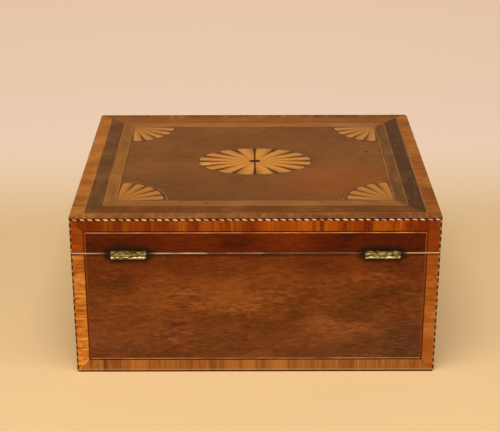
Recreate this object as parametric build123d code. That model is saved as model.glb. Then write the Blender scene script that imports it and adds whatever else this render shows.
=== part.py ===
from build123d import *
import math
import os

# A Georgian inlaid mahogany box, in millimetres. X runs along the box, Y from the lock side to the
# hinge side and Z up from the table. The origin is the middle of the underside.

# Outside
box_width = 305.0
box_depth = 254.0
box_height = 143.6
base_height = 110.8
rim_gap = 0.4
arris_round = 0.4
foot_round = 0.7
corner_round = 2.6

# Carcass boards and the skins glued to them
board_thickness = 9.0
bottom_thickness = 7.0
lid_top_thickness = 8.0
veneer_thickness = 0.9
base_tail_count = 5
lid_tail_count = 1
pin_width = 6.0
tail_slope = 1 / 7
lining_thickness = 0.4
lining_margin = 2.0

# Nails through the bottom board
brad_radius = 0.8
brad_head_radius = 1.7
brad_head_height = 0.7
brad_length = 19.0
brad_columns = 5
brad_rows = 2
brad_edge = 24.0

# Rope stringing, crossbanding and lines on the sides
rope_size = 1.7
side_band_width = 9.3
base_end_band_width = 11.6
lid_end_band_width = 9.1
side_ebony_line = 1.1
side_boxwood_line = 0.9
edging_height = 1.3
edging_depth = 2.2

# Bands on the top, from the edge inwards, where the two outer ones differ between ends and long sides
outer_band_end = 11.3
outer_band_side = 9.6
fine_line_width = 0.6
rosewood_band_end = 13.2
rosewood_band_side = 14.9
inner_band_width = 9.2
field_boxwood_line = 0.9
field_ebony_line = 0.5

# Fan inlays: the oval in the middle and a quarter circle in each corner of the field
oval_half_length = 51.0
oval_half_width = 32.2
oval_petals = 16
oval_valley_share = 0.965
oval_ground_width = 1.5
oval_heart_half_length = 5.2
oval_heart_half_width = 3.2
fan_radius = 39.0
fan_petals = 5
fan_valley_share = 0.94
fan_ground_width = 2.6
inlay_boxwood_line = 0.9
inlay_ebony_line = 0.5

# Brass stop hinges
hinge_from_end = 33.6
hinge_length = 28.8
hinge_axis_out = 0.2
barrel_radius = 2.0
knuckle_count = 5
knuckle_gap = 0.2
barrel_clearance = 0.15
hinge_pin_radius = 1.0
hinge_pin_clearance = 0.05
leaf_thickness = 1.6
leaf_depth = 8.5
heel_depth = 1.8
heel_height = 3.3
lid_opening = 95.0
stop_clearance = 0.25
leaf_screw_pitch = 9.6
leaf_screw_inset = 5.6

# Wood screws
screw_radius = 1.1
screw_head_radius = 2.1
screw_head_height = 1.1
screw_tip = 2.2
screw_slot_width = 0.5
screw_slot_depth = 0.5
screw_clearance = 0.05
screw_turn = 37.0
leaf_screw_length = 9.0
lock_screw_length = 7.0
link_screw_length = 8.0

# Lock in the front wall and the link plate over it
lock_width = 54.0
lock_height = 27.0
lock_plate_thickness = 1.5
case_width = 44.0
case_depth = 6.0
case_wall = 1.0
case_margin = 1.5
link_plate_length = 42.0
link_plate_thickness = 1.2
link_spacing = 22.0
link_thickness = 1.6
link_width = 4.2
link_drop = 8.5
link_web = 1.2
link_window_height = 3.2
link_window_width = 2.6
link_play = 0.45
link_screw_x = 16.5
lock_screw_x = 24.5
lock_screw_drop = 6.0
bolt_travel = 5.0
bolt_clearance = 0.8
bolt_bar_height = 4.3
bolt_side_gap = 0.2
bolt_slide_gap = 0.1
bolt_tail = 3.0
hook_thickness = 1.8
hook_post = 3.0
hook_finger_height = 2.4
hook_finger_gap = 0.6
hook_post_gap = 0.7
talon_width = 5.0
talon_depth = 2.5
rail_length = 8.0
rail_height = 1.9
key_drop = 5.3
drill_pin_radius = 1.0
drill_pin_length = 6.9
spring_foot_x = -7.0
spring_foot_width = 1.6
spring_foot_height = 1.8
spring_leaf_length = 5.8
spring_thickness = 0.4
spring_width = 1.6
spring_gap = 0.15
keyhole_radius = 2.2
keyhole_slot_width = 2.2
keyhole_slot_drop = 5.6
escutcheon_thread = 0.9
escutcheon_depth = 2.0

# Planes and levels that several pieces share
half_width = box_width / 2
half_depth = box_depth / 2
carcass_x = half_width - veneer_thickness
carcass_y = half_depth - veneer_thickness
inner_x = carcass_x - board_thickness
inner_y = carcass_y - board_thickness
lid_rim = base_height + rim_gap
edging_top = lid_rim + edging_height
top_board_high = box_height - veneer_thickness
top_board_low = top_board_high - lid_top_thickness
rope_low = top_board_high - rope_size
hinge_y = half_depth + hinge_axis_out
hinge_z = base_height + rim_gap / 2

FRONT = (Plane((0, -half_depth, 0), x_dir=(1, 0, 0), z_dir=(0, -1, 0)), half_width)
BACK = (Plane((0, half_depth, 0), x_dir=(-1, 0, 0), z_dir=(0, 1, 0)), half_width)
LEFT = (Plane((-half_width, 0, 0), x_dir=(0, -1, 0), z_dir=(-1, 0, 0)), half_depth)
RIGHT = (Plane((half_width, 0, 0), x_dir=(0, 1, 0), z_dir=(1, 0, 0)), half_depth)
SIDES = {"front": FRONT, "back": BACK, "left": LEFT, "right": RIGHT}


def save(name, pieces):
    """Writes one node: the solids of every piece in it."""
    solids = [solid for piece in pieces for solid in piece.solids()]
    shape = solids[0] if len(solids) == 1 else Compound(solids)
    export_step(shape, f"parts/{name}.step")


def block(x_range, y_range, z_range):
    """A box between a lower and an upper value along each axis."""
    sizes = [high - low for low, high in (x_range, y_range, z_range)]
    return Pos(x_range[0], y_range[0], z_range[0]) * Box(*sizes, align=Align.MIN)


def about(middle, width):
    """The range of a given width around a middle."""
    return (middle - width / 2, middle + width / 2)


def sheet(plane, outline, thickness):
    """A flat piece with straight edges, let in from the surface of a plane."""
    corners = [plane.from_local_coords(Vector(along, up, 0)) for along, up in outline]
    return Solid.extrude(Face(Wire.make_polygon(corners)), plane.z_dir * -thickness)


def less(pieces, cutters):
    """What is left of the pieces when the cutters are taken out of them."""
    return [solid for piece in pieces for solid in (piece - cutters).solids()]


def worn_block(z_range, low_round):
    """The outside of the base or the lid, with its upright corners and its arrises rubbed round."""
    solid = block((-half_width, half_width), (-half_depth, half_depth), z_range)
    solid = fillet(solid.edges().filter_by(Axis.Z), corner_round)
    solid = fillet(solid.edges().group_by(Axis.Z)[0], low_round)
    return fillet(solid.edges().group_by(Axis.Z)[-1], arris_round)


def within(pieces, envelope):
    """The pieces with their outer edges rounded as the envelope's are."""
    return [solid for piece in pieces for solid in (piece & envelope).solids()]


# Carcass


def tails(z_range, count):
    """The dovetails of both side boards, wider at their ends than at their roots."""
    pitch = (z_range[1] - z_range[0]) / count
    end_half = (pitch - pin_width) / 2
    root_half = end_half - board_thickness * tail_slope
    solids = []
    for index in range(count):
        middle = z_range[0] + (index + 0.5) * pitch
        for end in (-1, 1):
            outline = [
                (end * inner_y, middle - root_half),
                (end * carcass_y, middle - end_half),
                (end * carcass_y, middle + end_half),
                (end * inner_y, middle + root_half),
            ]
            for side in (-1, 1):
                face = Face(Wire.make_polygon([Vector(side * inner_x, y, z) for y, z in outline]))
                solids.append(Solid.extrude(face, Vector(side * board_thickness, 0, 0)))
    return solids


def wall_boards(z_range, tail_count):
    """Four boards dovetailed at the corners, tails on the sides and pins on front and back."""
    tail_solids = tails(z_range, tail_count)
    boards = {}
    for name, side in (("front", -1), ("back", 1)):
        y_range = sorted((side * inner_y, side * carcass_y))
        boards[name] = block((-carcass_x, carcass_x), y_range, z_range) - tail_solids
    for name, side in (("left", -1), ("right", 1)):
        x_range = sorted((side * inner_x, side * carcass_x))
        own_tails = [tail for tail in tail_solids if tail.center().X * side > 0]
        boards[name] = block(x_range, (-inner_y, inner_y), z_range) + own_tails
    return boards


def brads(clearance=0.0):
    """Nails driven up through the bottom board into the walls."""
    shank = Pos(0, 0, brad_length / 2) * Cylinder(brad_radius + clearance, brad_length)
    head = Pos(0, 0, brad_head_height / 2) * Cylinder(brad_head_radius + clearance, brad_head_height)
    nail = shank + head
    wall_x = carcass_x - board_thickness / 2
    wall_y = carcass_y - board_thickness / 2
    span_x = 2 * (carcass_x - brad_edge)
    span_y = 2 * (carcass_y - brad_edge)
    along_x = [span_x * (i / (brad_columns - 1) - 0.5) for i in range(brad_columns)]
    along_y = [span_y * ((i + 1) / (brad_rows + 1) - 0.5) for i in range(brad_rows)]
    places = [(x, side * wall_y) for x in along_x for side in (-1, 1)]
    places += [(side * wall_x, y) for y in along_y for side in (-1, 1)]
    return [Pos(x, y, 0) * nail for x, y in places]


# Stringing and banding


def corner_ropes(z_range):
    """Square rope stringing let into the four upright arrises."""
    ropes = []
    for side_x in (-1, 1):
        for side_y in (-1, 1):
            x_range = sorted((side_x * (half_width - rope_size), side_x * half_width))
            y_range = sorted((side_y * (half_depth - rope_size), side_y * half_depth))
            ropes.append(block(x_range, y_range, z_range))
    return ropes


def mitred_ring(outer, inner, surface, thickness):
    """Four strips mitred at the corners, lying between two distances from the edges of the box. Each
    distance is one from the ends and one from the long sides."""
    plane = Plane((0, 0, surface))
    out_x, out_y = half_width - outer[0], half_depth - outer[1]
    in_x, in_y = half_width - inner[0], half_depth - inner[1]
    strips = []
    for side in (-1, 1):
        long_strip = [(-out_x, out_y), (out_x, out_y), (in_x, in_y), (-in_x, in_y)]
        short_strip = [(out_x, -out_y), (out_x, out_y), (in_x, in_y), (in_x, -in_y)]
        strips.append([(x, side * y) for x, y in long_strip])
        strips.append([(side * x, y) for x, y in short_strip])
    return [sheet(plane, strip, thickness) for strip in strips]


def side_insets(end_band_width):
    """How far the edges of the banding and of each line lie from the upright and the end edges."""
    insets = [(rope_size, 0.0)]
    steps = (
        (side_band_width, end_band_width),
        (side_ebony_line, side_ebony_line),
        (side_boxwood_line, side_boxwood_line),
    )
    for side_step, end_step in steps:
        insets.append((insets[-1][0] + side_step, insets[-1][1] + end_step))
    return insets


def side_strips(outer, inner, rim, end, inward):
    """On each side two upright strips from the rim and one along the end edge, mitred together."""
    strips = []
    for plane, half in SIDES.values():
        out_x, in_x = half - outer[0], half - inner[0]
        out_z, in_z = end + inward * outer[1], end + inward * inner[1]
        strips.append(sheet(plane, [(-out_x, out_z), (out_x, out_z), (in_x, in_z), (-in_x, in_z)],
                            veneer_thickness))
        for side in (-1, 1):
            upright = [(out_x, out_z), (out_x, rim), (in_x, rim), (in_x, in_z)]
            strips.append(sheet(plane, [(side * x, z) for x, z in upright], veneer_thickness))
    return strips


def side_panel(side, inset, z_range):
    """The mahogany veneer inside the banding of one side."""
    plane, half = SIDES[side]
    edge = half - inset
    low, high = z_range
    return sheet(plane, [(-edge, low), (edge, low), (edge, high), (-edge, high)], veneer_thickness)


# Fan inlays


def petal(centre, reach, start, end, valley):
    """One petal between two rays from the centre. Its outer end is an arc from valley to valley."""

    def point(angle, share):
        x = centre[0] + share * reach[0] * math.cos(math.radians(angle))
        y = centre[1] + share * reach[1] * math.sin(math.radians(angle))
        return Vector(x, y, box_height)

    heart = Vector(centre[0], centre[1], box_height)
    first, tip, last = point(start, valley), point((start + end) / 2, 1.0), point(end, valley)
    edges = [Edge.make_line(heart, first), Edge.make_three_point_arc(first, tip, last),
             Edge.make_line(last, heart)]
    return Solid.extrude(Face(Wire(edges)), Vector(0, 0, -veneer_thickness))


def oval(half_length, half_width_):
    """An oval disc as thick as the veneer."""
    return Pos(0, 0, box_height) * extrude(Ellipse(half_length, half_width_), amount=-veneer_thickness)


def corner_disc(corner, radius, field):
    """The quarter of a round disc that lies on the field at one of its corners."""
    disc = Cylinder(radius, veneer_thickness, align=(Align.CENTER, Align.CENTER, Align.MAX))
    return field & (Pos(corner[0], corner[1], box_height) * disc)


# Screws and hinges


def wood_screw(length, clearance=0.0, turn=0.0):
    """A slotted countersunk screw that points down, with the top of its head at the origin."""
    shank, head = screw_radius + clearance, screw_head_radius + clearance
    profile = [
        (0, 0), (head, 0), (head, -clearance), (shank, -screw_head_height - clearance),
        (shank, -length + screw_tip), (0, -length - clearance),
    ]
    if not clearance:
        profile = [(0, 0), (head, 0), (shank, -screw_head_height), (shank, -length + screw_tip), (0, -length)]
    screw = revolve(make_face(Plane.XZ * Polyline(*profile, close=True)), Axis.Z)
    if clearance:
        return screw
    slot = Box(3 * screw_head_radius, screw_slot_width, 2 * screw_slot_depth)
    return screw - Rot(0, 0, turn) * slot


def axle(x_range, radius):
    """A round bar on the hinge axis."""
    middle, length = sum(x_range) / 2, x_range[1] - x_range[0]
    return Pos(middle, hinge_y, hinge_z) * Rot(0, 90, 0) * Cylinder(radius, length)


def hinge_recess(middle, up):
    """The space for one leaf: a thin plate let into the rim and a thick heel at the back edge."""
    rim = hinge_z + up * rim_gap / 2
    x_range = about(middle, hinge_length)
    plate_z = sorted((rim, rim + up * leaf_thickness))
    heel_z = sorted((rim, hinge_z + up * heel_height))
    plate = block(x_range, (half_depth - leaf_depth, half_depth), plate_z)
    heel = block(x_range, (half_depth - heel_depth, hinge_y + barrel_radius), heel_z)
    return [plate, heel]


def hinge_screws(middle, up, clearance=0.0):
    """The three screws of one leaf, each slot left at its own angle."""
    flip = Rot(0, 0, 0) if up < 0 else Rot(180, 0, 0)
    screws = []
    for index in (-1, 0, 1):
        place = Pos(middle + index * leaf_screw_pitch, half_depth - leaf_screw_inset,
                    hinge_z + up * rim_gap / 2)
        screws.append(place * flip * wood_screw(leaf_screw_length, clearance, screw_turn * (index + 2)))
    return screws


def hinge_leaf(middle, up):
    """A cast leaf. The base carries the odd knuckles and the lid the even ones, and the heels of
    both are bevelled through the axis, so that they meet and stop the lid when it is open."""
    start = middle - hinge_length / 2
    pitch = hinge_length / knuckle_count
    own_parity = 0 if up < 0 else 1
    own, other = [], []
    for index in range(knuckle_count):
        low = start + index * pitch
        high = low + pitch
        inner_low = 0 if index == 0 else knuckle_gap / 2
        inner_high = 0 if index == knuckle_count - 1 else knuckle_gap / 2
        if index % 2 == own_parity:
            own.append(axle((low + inner_low, high - inner_high), barrel_radius))
        else:
            other.append(axle((low - inner_low, high + inner_high), barrel_radius + barrel_clearance))
    plate, heel = hinge_recess(middle, up)
    reach = 2 * barrel_radius
    rise = up * reach * math.tan(math.radians(lid_opening / 2 + stop_clearance))
    outer_y = hinge_y + reach
    wedge = [(start, hinge_y, hinge_z), (start, outer_y, hinge_z), (start, outer_y, hinge_z + rise)]
    bevel = Solid.extrude(Face(Wire.make_polygon([Vector(*corner) for corner in wedge])),
                          Vector(hinge_length, 0, 0))
    bore = axle(about(middle, hinge_length), hinge_pin_radius + hinge_pin_clearance)
    body = (plate + heel) - bevel - other
    return (body + own) - bore - hinge_screws(middle, up, screw_clearance)


# Lock: everything is set out from the inner face of the front wall and from the rims

wall_inner = -inner_y
plate_y = wall_inner - lock_plate_thickness
case_y = plate_y - case_depth
cap_y = case_y + case_wall
link_y = (plate_y + cap_y) / 2
lock_low = base_height - lock_height
case_low = lock_low + case_margin
selvedge_low = base_height - lock_plate_thickness
link_low = lid_rim - link_drop
window_low = link_low + link_web
finger_z = window_low + link_window_height / 2
bar_high = link_low - bolt_clearance
bar_low = bar_high - bolt_bar_height
key_z = bar_low - key_drop
link_places = (-link_spacing / 2, link_spacing / 2)


def keyhole(extra):
    """The outline of the keyhole, grown by the same amount all round."""
    slot = Pos(0, -keyhole_slot_drop / 2) * Rectangle(keyhole_slot_width + 2 * extra, keyhole_slot_drop)
    foot = Pos(0, -keyhole_slot_drop) * Circle(keyhole_slot_width / 2 + extra)
    return Circle(keyhole_radius + extra) + slot + foot


def keyhole_cut(extra, y_range):
    """The keyhole as a solid between two depths in the front wall."""
    plane = Plane((0, y_range[0], key_z), x_dir=(1, 0, 0), z_dir=(0, -1, 0))
    return extrude(plane * keyhole(extra), amount=-(y_range[1] - y_range[0]))


def lock_recess():
    """The wood cut away for the lock."""
    plate = block(about(0, lock_width), (plate_y, wall_inner), (lock_low, base_height))
    case = block(about(0, case_width), (case_y, plate_y), (case_low, base_height))
    selvedge = block(about(0, lock_width), (case_y, wall_inner), (selvedge_low, base_height))
    return [plate, case, selvedge]


def lock_screws(clearance=0.0):
    """Four screws through the corners of the lock plate into the wall."""
    screws = []
    for index, (side, level) in enumerate(((-1, 0), (1, 0), (-1, 1), (1, 1))):
        drop = lock_screw_drop if level else lock_height - lock_screw_drop
        place = Pos(side * lock_screw_x, wall_inner, base_height - drop)
        screws.append(place * Rot(-90, 0, 0) * wood_screw(lock_screw_length, clearance, screw_turn * index))
    return screws


def lock_plate():
    """The flat plate on the inner face of the wall and the selvedge that is flush with the rim."""
    plate, _, selvedge = lock_recess()
    slots = [
        block(about(x, link_thickness + 2 * link_play), about(link_y, link_width + 2 * link_play),
              (selvedge_low, base_height))
        for x in link_places
    ]
    return (plate + selvedge) - slots - lock_screws(screw_clearance)


def lock_case():
    """The tray behind the plate, with two rails that the bolt slides on."""
    outer = block(about(0, case_width), (case_y, plate_y), (case_low, selvedge_low))
    cavity_width = case_width - 2 * case_wall
    cavity = block(about(0, cavity_width), (cap_y, plate_y), (case_low + case_wall, selvedge_low))
    rail_top = bar_low - bolt_slide_gap
    rail_z = (rail_top - rail_height, rail_top)
    left_rail = block((-cavity_width / 2, -cavity_width / 2 + rail_length), (cap_y, plate_y), rail_z)
    right_rail = block((cavity_width / 2 - rail_length, cavity_width / 2), (cap_y, plate_y), rail_z)
    return (outer - cavity) + left_rail + right_rail - keyhole_cut(0, (case_y, cap_y))


def lock_bolt():
    """A sliding bar with a hook for each link, drawn back at rest, and a notch that the key turns."""
    first_post = link_places[0] - link_thickness / 2 - bolt_travel - hook_post_gap - hook_post
    bar = block((first_post, link_places[1] + bolt_tail), (cap_y + bolt_side_gap, plate_y - bolt_side_gap),
                (bar_low, bar_high))
    bolt = bar
    for x in link_places:
        near_face = x - link_thickness / 2
        post_high = near_face - bolt_travel - hook_post_gap
        post = block((post_high - hook_post, post_high), about(link_y, hook_thickness),
                     (bar_high, finger_z + hook_finger_height / 2))
        finger = block((post_high - hook_post, near_face - hook_finger_gap), about(link_y, hook_thickness),
                       about(finger_z, hook_finger_height))
        bolt = bolt + post + finger
    talon = block(about(-bolt_travel / 2, talon_width), (cap_y, plate_y), (bar_low, bar_low + talon_depth))
    return bolt - talon


def lock_spring():
    """A leaf spring, riveted to the case by its foot and bearing on the bolt."""
    foot_low = bar_high + spring_gap + spring_thickness
    foot_high = foot_low + spring_foot_height
    heel_x = spring_foot_x + spring_foot_width
    tip_x = heel_x + spring_leaf_length
    tip_z = bar_high + spring_gap
    outline = [
        (spring_foot_x, foot_low), (heel_x, foot_low), (tip_x, tip_z), (tip_x, tip_z + spring_thickness),
        (heel_x, foot_low + spring_thickness), (heel_x, foot_high), (spring_foot_x, foot_high),
    ]
    face = Face(Wire.make_polygon([Vector(x, cap_y, z) for x, z in outline]))
    return Solid.extrude(face, Vector(0, spring_width, 0))


def link_plate_bed():
    """The recess for the link plate in the lid's rim."""
    return block(about(0, link_plate_length), (case_y, wall_inner), (lid_rim, lid_rim + link_plate_thickness))


def link_screws(clearance=0.0):
    """Two screws through the ends of the link plate into the lid."""
    screws = []
    for index, side in enumerate((-1, 1)):
        place = Pos(side * link_screw_x, link_y, lid_rim)
        screws.append(place * Rot(180, 0, 0) * wood_screw(link_screw_length, clearance, screw_turn * index))
    return screws


def link_plate():
    """A plate with two staples that drop through the selvedge, each with a window for a hook."""
    plate = link_plate_bed()
    for x in link_places:
        staple = block(about(x, link_thickness), about(link_y, link_width), (link_low, lid_rim))
        window = block(about(x, link_thickness), about(link_y, link_window_width),
                       (window_low, window_low + link_window_height))
        plate = plate + (staple - window)
    return plate - link_screws(screw_clearance)


# Paper linings


def wall_lining(z_range):
    """Four sheets of paper on the inner faces of the walls."""
    near_x, near_y = inner_x - lining_thickness, inner_y - lining_thickness
    sheets = []
    for side in (-1, 1):
        sheets.append(block((-inner_x, inner_x), sorted((side * near_y, side * inner_y)), z_range))
        sheets.append(block(sorted((side * near_x, side * inner_x)), (-near_y, near_y), z_range))
    return sheets


os.makedirs("parts", exist_ok=True)

base_envelope = worn_block((0, base_height), foot_round)
lid_envelope = worn_block((lid_rim, box_height), arris_round)

hinge_x = half_width - hinge_from_end - hinge_length / 2
hinge_places = {"left": -hinge_x, "right": hinge_x}
base_hinge_recesses = [piece for x in hinge_places.values() for piece in hinge_recess(x, -1)]
lid_hinge_recesses = [piece for x in hinge_places.values() for piece in hinge_recess(x, 1)]
base_hinge_holes = [hole for x in hinge_places.values() for hole in hinge_screws(x, -1, screw_clearance)]
lid_hinge_holes = [hole for x in hinge_places.values() for hole in hinge_screws(x, 1, screw_clearance)]

# Base carcass
base_ropes = corner_ropes((0, base_height))
brad_holes = brads(screw_clearance)
escutcheon_seat = keyhole_cut(escutcheon_thread, (-half_depth, -half_depth + escutcheon_depth))
key_way = keyhole_cut(0, (-half_depth, case_y))
wall_cuts = {
    "front": lock_recess() + lock_screws(screw_clearance) + [escutcheon_seat, key_way],
    "back": base_hinge_recesses + base_hinge_holes,
    "left": [],
    "right": [],
}
for side, board in wall_boards((bottom_thickness, base_height), base_tail_count).items():
    save(f"base_{side}_board", [board - base_ropes - brad_holes - wall_cuts[side]])
bottom_board = block((-carcass_x, carcass_x), (-carcass_y, carcass_y), (0, bottom_thickness))
save("bottom_board", [bottom_board - base_ropes - brad_holes])
save("bottom_brads", brads())

# Base veneers, banding and lines
insets = side_insets(base_end_band_width)
panel_inset, panel_low = insets[-1]
panel_cuts = {"front": [escutcheon_seat], "back": base_hinge_recesses, "left": [], "right": []}
for side in SIDES:
    panel = side_panel(side, panel_inset, (panel_low, base_height))
    panel = less([panel], panel_cuts[side]) if panel_cuts[side] else [panel]
    save(f"base_{side}_veneer", within(panel, base_envelope))
for name, index in (("base_crossbanding", 0), ("base_ebony_lines", 1), ("base_boxwood_lines", 2)):
    strips = side_strips(insets[index], insets[index + 1], base_height, 0, 1)
    save(name, within(strips, base_envelope))
save("base_corner_ropes", within(base_ropes, base_envelope))

# Lid carcass
lid_ropes = corner_ropes((edging_top, rope_low))
top_ropes = mitred_ring((0, 0), (rope_size, rope_size), top_board_high, rope_size)
rim_edging = mitred_ring((0, 0), (edging_depth, edging_depth), edging_top, edging_height)
lid_trims = lid_ropes + top_ropes + rim_edging
wall_cuts = {
    "front": [link_plate_bed()] + link_screws(screw_clearance),
    "back": lid_hinge_recesses + lid_hinge_holes,
    "left": [],
    "right": [],
}
for side, board in wall_boards((lid_rim, top_board_low), lid_tail_count).items():
    save(f"lid_{side}_board", [board - lid_trims - wall_cuts[side]])
top_board = block((-carcass_x, carcass_x), (-carcass_y, carcass_y), (top_board_low, top_board_high))
save("lid_top_board", [top_board - lid_trims])
save("lid_corner_ropes", within(lid_ropes, lid_envelope))
save("lid_top_ropes", within(top_ropes, lid_envelope))
save("lid_rim_edging", within(less(rim_edging, lid_hinge_recesses), lid_envelope))

# Lid side veneers, banding and lines
insets = side_insets(lid_end_band_width)
panel_inset, panel_drop = insets[-1]
for side in SIDES:
    panel = [side_panel(side, panel_inset, (edging_top, rope_low - panel_drop))]
    panel = less(panel, lid_hinge_recesses) if side == "back" else panel
    save(f"lid_{side}_veneer", panel)
lid_strips = [side_strips(insets[i], insets[i + 1], edging_top, rope_low, -1) for i in range(3)]
save("lid_crossbanding", within(lid_strips[0], lid_envelope))

# Top bands, from the edge inwards
inner_steps = [inner_band_width, field_boxwood_line, field_ebony_line]
line = fine_line_width
end_steps = [outer_band_end, line, rosewood_band_end, line] + inner_steps
side_steps = [outer_band_side, line, rosewood_band_side, line] + inner_steps
top_insets = [(sum(end_steps[:count]), sum(side_steps[:count])) for count in range(len(end_steps) + 1)]
rings = [
    mitred_ring(outer, inner, box_height, veneer_thickness)
    for outer, inner in zip(top_insets, top_insets[1:])
]
save("top_outer_banding", within(rings[0], lid_envelope))
save("top_rosewood_banding", rings[2])
save("top_inner_banding", rings[4])

# Field with its oval and corner fans
field_x, field_y = half_width - top_insets[-1][0], half_depth - top_insets[-1][1]
field = block((-field_x, field_x), (-field_y, field_y), (top_board_high, box_height))
field_corners = [(side_x * field_x, side_y * field_y) for side_x in (-1, 1) for side_y in (-1, 1)]
oval_edges = [(oval_half_length, oval_half_width)]
fan_edges = [fan_radius]
for step in (oval_ground_width, inlay_boxwood_line, inlay_ebony_line):
    oval_edges.append((oval_edges[-1][0] + step, oval_edges[-1][1] + step))
for step in (fan_ground_width, inlay_boxwood_line, inlay_ebony_line):
    fan_edges.append(fan_edges[-1] + step)
ovals = [oval(*edge) for edge in oval_edges]
fans = [[corner_disc(corner, radius, field) for corner in field_corners] for radius in fan_edges]
heart = oval(oval_heart_half_length, oval_heart_half_width)
petal_angle = 360 / oval_petals
reach = (oval_half_length, oval_half_width)
petals = [
    petal((0, 0), reach, i * petal_angle, (i + 1) * petal_angle, oval_valley_share) for i in range(oval_petals)
]
corner_petals = []
fan_angle = 90 / fan_petals
for corner in field_corners:
    reach = (-math.copysign(fan_radius, corner[0]), -math.copysign(fan_radius, corner[1]))
    corner_petals += [
        petal(corner, reach, i * fan_angle, (i + 1) * fan_angle, fan_valley_share) for i in range(fan_petals)
    ]
save("top_field_veneer", [field - ovals[3] - fans[3]])
save("oval_heart", [heart])
save("oval_petals", less(petals, [heart]))
save("oval_ground", [ovals[1] - petals - heart])
save("fan_petals", corner_petals)
save("fan_grounds", less(fans[1], corner_petals))
save("inlay_borders", [ovals[2] - ovals[1]] + [outer - inner for outer, inner in zip(fans[2], fans[1])])
inlay_ebony = [ovals[3] - ovals[2]] + [outer - inner for outer, inner in zip(fans[3], fans[2])]
save("lid_ebony_lines", lid_strips[1] + rings[6] + inlay_ebony)
save("lid_boxwood_lines", lid_strips[2] + rings[1] + rings[3] + rings[5])

# Hinges
for side, x in hinge_places.items():
    save(f"hinge_base_leaf_{side}", [hinge_leaf(x, -1)])
    save(f"hinge_lid_leaf_{side}", [hinge_leaf(x, 1)])
    save(f"hinge_pin_{side}", [axle(about(x, hinge_length), hinge_pin_radius)])
save("hinge_base_screws", [screw for x in hinge_places.values() for screw in hinge_screws(x, -1)])
save("hinge_lid_screws", [screw for x in hinge_places.values() for screw in hinge_screws(x, 1)])

# Lock
save("lock_plate", [lock_plate()])
save("lock_case", [lock_case()])
save("lock_bolt", [lock_bolt()])
save("lock_spring", [lock_spring()])
drill_pin = Rot(90, 0, 0) * Cylinder(drill_pin_radius, drill_pin_length)
save("lock_drill_pin", [Pos(0, plate_y - drill_pin_length / 2, key_z) * drill_pin])
save("lock_screws", lock_screws())
save("keyhole_escutcheon", [escutcheon_seat - keyhole_cut(0, (-half_depth, -half_depth + escutcheon_depth))])
save("link_plate", [link_plate()])
save("link_plate_screws", link_screws())

# Linings
lock_window = block(about(0, lock_width + 2 * lining_margin), (wall_inner, wall_inner + lining_thickness),
                    (lock_low - lining_margin, base_height))
floor_top = bottom_thickness + lining_thickness
ceiling_low = top_board_low - lining_thickness
save("base_wall_lining", less(wall_lining((floor_top, base_height - lining_margin)), [lock_window]))
save("base_floor_lining", [block((-inner_x, inner_x), (-inner_y, inner_y), (bottom_thickness, floor_top))])
ceiling = block((-inner_x, inner_x), (-inner_y, inner_y), (ceiling_low, top_board_low))
save("lid_lining", wall_lining((lid_rim + lining_margin, ceiling_low)) + [ceiling])
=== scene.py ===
import math

import bmesh
import bpy
from mathutils import Matrix, Vector


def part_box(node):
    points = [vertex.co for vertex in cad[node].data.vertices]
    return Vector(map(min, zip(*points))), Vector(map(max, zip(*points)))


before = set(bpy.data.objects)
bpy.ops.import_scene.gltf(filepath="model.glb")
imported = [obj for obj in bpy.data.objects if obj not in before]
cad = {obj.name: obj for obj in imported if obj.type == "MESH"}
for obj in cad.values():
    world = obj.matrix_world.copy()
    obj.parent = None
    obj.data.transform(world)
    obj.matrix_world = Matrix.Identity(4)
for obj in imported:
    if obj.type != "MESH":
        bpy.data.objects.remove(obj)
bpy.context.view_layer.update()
MM = 0.001


# Carcass. Plain boards dovetailed at the corners and nailed to a bottom board, bare inside and
# underneath. They show at the rims, where years of handling have darkened the sawn edge.
class Measure:
    """A number that changes over a surface, so that a pattern can be written as a formula."""

    def __init__(self, finish, socket):
        self.finish = finish
        self.socket = socket

    def __add__(self, other):
        return self.finish.work("ADD", self, other)

    __radd__ = __add__

    def __sub__(self, other):
        return self.finish.work("SUBTRACT", self, other)

    def __rsub__(self, other):
        return self.finish.work("SUBTRACT", other, self)

    def __mul__(self, other):
        return self.finish.work("MULTIPLY", self, other)

    def __truediv__(self, other):
        return self.finish.work("DIVIDE", self, other)

    def __abs__(self):
        return self.finish.work("ABSOLUTE", self)

    def fraction(self):
        return self.finish.work("FRACT", self)

    def least(self, other):
        return self.finish.work("MINIMUM", self, other)

    def most(self, other):
        return self.finish.work("MAXIMUM", self, other)

    def beyond(self, limit):
        return self.finish.work("GREATER_THAN", self, limit)

    def rise(self, start, end):
        """0 before start, 1 after end and a soft change between. It falls if end is below start."""
        inputs = {"Value": self, "From Min": start, "From Max": end}
        made = self.finish.node("ShaderNodeMapRange", inputs, interpolation_type="SMOOTHSTEP")
        return Measure(self.finish, made.outputs[0])


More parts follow.
